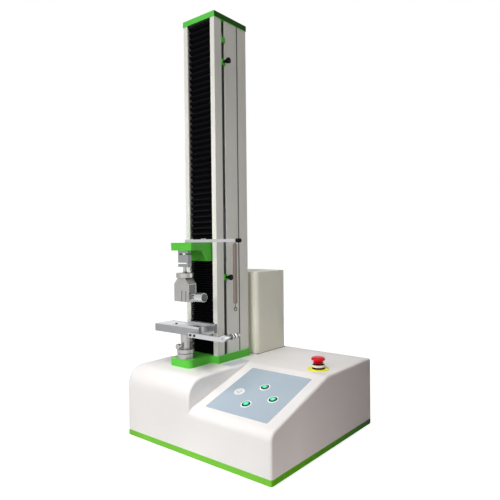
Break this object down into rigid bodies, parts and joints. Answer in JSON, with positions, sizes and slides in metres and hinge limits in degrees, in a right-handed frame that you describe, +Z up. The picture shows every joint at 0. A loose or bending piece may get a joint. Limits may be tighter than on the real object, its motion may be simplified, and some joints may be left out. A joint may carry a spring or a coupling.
{
  "type": "peel strength tester",
  "caption": "Bench-top peel and tensile tester: a sheet-metal base with a sloping console, a single column, a screw-driven crosshead with a load cell and vise grip, and a peel table.",
  "frame": {"origin": "middle of the footprint, on the surface that the feet stand on", "axes": "+Z up along the column, +X to the right of someone facing the machine, +Y to the back"},
  "size_m": [0.5, 0.49, 1.193],
  "materials": {
    "white_paint": "satin powder coat",
    "green_paint": "semi-gloss paint",
    "panel_grey": "satin film",
    "button_green": "translucent",
    "button_white": "translucent",
    "stop_red": "gloss",
    "stop_yellow": "satin",
    "black_plastic": "matt",
    "feet_rubber": "matt",
    "bellows_cloth": "coated cloth",
    "machined_steel": "ground",
    "machined_aluminium": "machined",
    "structural_steel": "primer",
    "motor_black": "satin",
    "spring_steel": "drawn wire",
    "belt_rubber": "matt",
    "grey_plastic": "moulded"
  },
  "bodies": {
    "root": {"rubber_feet": "feet_rubber", "base_plate": "green_paint", "base_housing": "white_paint", "control_panel": "panel_grey", "button_bezels": "machined_steel", "estop_disc": "stop_yellow", "estop_collar": "black_plastic", "column_flange": "green_paint", "column_profile": "white_paint", "column_corner": "white_paint", "top_cap": "green_paint", "bellows_upper": "bellows_cloth", "bellows_lower": "bellows_cloth", "limit_rod": "machined_steel", "rod_clamp": "green_paint", "guide_rods": "machined_steel", "screw_bearings": "machined_aluminium", "column_pedestal": "structural_steel", "motor": "motor_black", "motor_bracket": "structural_steel", "timing_belt": "belt_rubber", "control_unit": "grey_plastic", "rear_housing": "white_paint", "inlet_module": "black_plastic", "fixture_post": "machined_steel", "slide_channel": "machined_aluminium", "retaining_bars": "machined_aluminium", "fixture_screws": "machined_steel", "pulley_arm": "machined_aluminium", "pulley_shaft": "machined_steel"},
    "crosshead": {"crosshead_bracket": "green_paint", "carriage": "machined_aluminium", "ball_nut": "machined_steel", "load_cell": "machined_aluminium", "grip_stud": "machined_steel", "grip_body": "machined_steel", "spring_bar": "machined_aluminium", "spring_bar_screws": "machined_steel", "spring_bar_cap": "black_plastic"},
    "screw": {"ball_screw": "machined_steel", "screw_pulley": "machined_aluminium"},
    "motor_drive": {"motor_shaft": "machined_steel", "motor_pulley": "machined_aluminium"},
    "jaw": {"moving_jaw": "machined_steel"},
    "clamp_screw": {"grip_screw": "machined_steel"},
    "spring": {"tension_spring": "spring_steel"},
    "stop_upper": {"upper_stop": "green_paint"},
    "knob_upper": {"upper_stop_knob": "black_plastic"},
    "stop_lower": {"lower_stop": "green_paint"},
    "knob_lower": {"lower_stop_knob": "black_plastic"},
    "table": {"sliding_table": "machined_aluminium"},
    "cord_pulley": {"pulley": "machined_aluminium"},
    "pin": {"cross_pin": "machined_steel"},
    "ring": {"lock_ring": "machined_steel"},
    "estop": {"estop_head": "stop_red"},
    "push_top": {"button_top": "button_green"},
    "push_right": {"button_right": "button_green"},
    "push_bottom": {"button_bottom": "button_green"},
    "push_left": {"button_left": "button_white"},
    "rocker": {"power_rocker": "black_plastic"}
  },
  "joints": [
    {"name": "screw_turn", "type": "hinge", "parent": "root", "child": "screw", "pos_m": [-0.126, -0.013, 0.6], "axis": [0, 0, -1], "range_deg": [-1410, 14730]},
    {"name": "crosshead_travel", "type": "slide", "parent": "root", "child": "crosshead", "axis": [0, 0, 1], "range_m": [-0.0391, 0.4091], "deforming": ["bellows_upper", "bellows_lower"]},
    {"name": "motor_turn", "type": "hinge", "parent": "root", "child": "motor_drive", "pos_m": [0.014, -0.013, 0.06], "axis": [0, 0, -1], "range_deg": [-2820, 29460]},
    {"name": "jaw_slide", "type": "slide", "parent": "crosshead", "child": "jaw", "axis": [1, 0, 0], "range_m": [-0.002, 0.0019]},
    {"name": "clamp_screw_turn", "type": "hinge", "parent": "jaw", "child": "clamp_screw", "pos_m": [-0.08, -0.1385, 0.392], "axis": [1, 0, 0], "range_deg": [-580, 550]},
    {"name": "spring_swing", "type": "hinge", "parent": "crosshead", "child": "spring", "pos_m": [0.06, -0.1385, 0.5455], "axis": [0, 1, 0], "range_deg": [-20, 20]},
    {"name": "upper_stop_slide", "type": "slide", "parent": "root", "child": "stop_upper", "axis": [0, 0, 1], "range_m": [-0.35, 0.04]},
    {"name": "upper_knob_turn", "type": "hinge", "parent": "stop_upper", "child": "knob_upper", "pos_m": [-0.055, -0.03675, 1.058], "axis": [1, 0, 0], "range_deg": [-108, 180]},
    {"name": "lower_stop_slide", "type": "slide", "parent": "root", "child": "stop_lower", "axis": [0, 0, 1], "range_m": [-0.18, 0.035]},
    {"name": "lower_knob_turn", "type": "hinge", "parent": "stop_lower", "child": "knob_lower", "pos_m": [-0.055, -0.03675, 0.4415], "axis": [1, 0, 0], "range_deg": [-108, 180]},
    {"name": "table_slide", "type": "slide", "parent": "root", "child": "table", "axis": [1, 0, 0], "range_m": [0, 0.09]},
    {"name": "pulley_spin", "type": "hinge", "parent": "root", "child": "cord_pulley", "pos_m": [0.053, -0.1415, 0.299], "axis": [0, 1, 0], "continuous": true},
    {"name": "pin_slide", "type": "slide", "parent": "root", "child": "pin", "axis": [0, -1, 0], "range_m": [0, 0.045]},
    {"name": "ring_turn", "type": "hinge", "parent": "root", "child": "ring", "pos_m": [-0.126, -0.1385, 0.24], "axis": [0, 0, 1], "range_deg": [-180, 180]},
    {"name": "estop_push", "type": "slide", "parent": "root", "child": "estop", "axis": [0, 0, -1], "range_m": [0, 0.004], "stiffness_N_per_m": 800, "springref_m": -0.002},
    {"name": "button_top_push", "type": "slide", "parent": "root", "child": "push_top", "axis": [0, 0.2908, -0.9568], "range_m": [0, 0.0015], "stiffness_N_per_m": 300, "springref_m": -0.001},
    {"name": "button_right_push", "type": "slide", "parent": "root", "child": "push_right", "axis": [0, 0.2908, -0.9568], "range_m": [0, 0.0015], "stiffness_N_per_m": 300, "springref_m": -0.001},
    {"name": "button_bottom_push", "type": "slide", "parent": "root", "child": "push_bottom", "axis": [0, 0.2908, -0.9568], "range_m": [0, 0.0015], "stiffness_N_per_m": 300, "springref_m": -0.001},
    {"name": "button_left_push", "type": "slide", "parent": "root", "child": "push_left", "axis": [0, 0.2908, -0.9568], "range_m": [0, 0.0015], "stiffness_N_per_m": 300, "springref_m": -0.001},
    {"name": "rocker_tilt", "type": "hinge", "parent": "root", "child": "rocker", "pos_m": [-0.126, 0.2335, 0.262], "axis": [0, 0, 1], "range_deg": [0, 14]}
  ],
  "couplings": [
    {"joint": "screw_turn", "follows": "crosshead_travel", "rad_per_m": 628.32},
    {"joint": "motor_turn", "follows": "crosshead_travel", "rad_per_m": 1256.6},
    {"joint": "clamp_screw_turn", "follows": "jaw_slide", "rad_per_m": 5026.5}
  ]
}
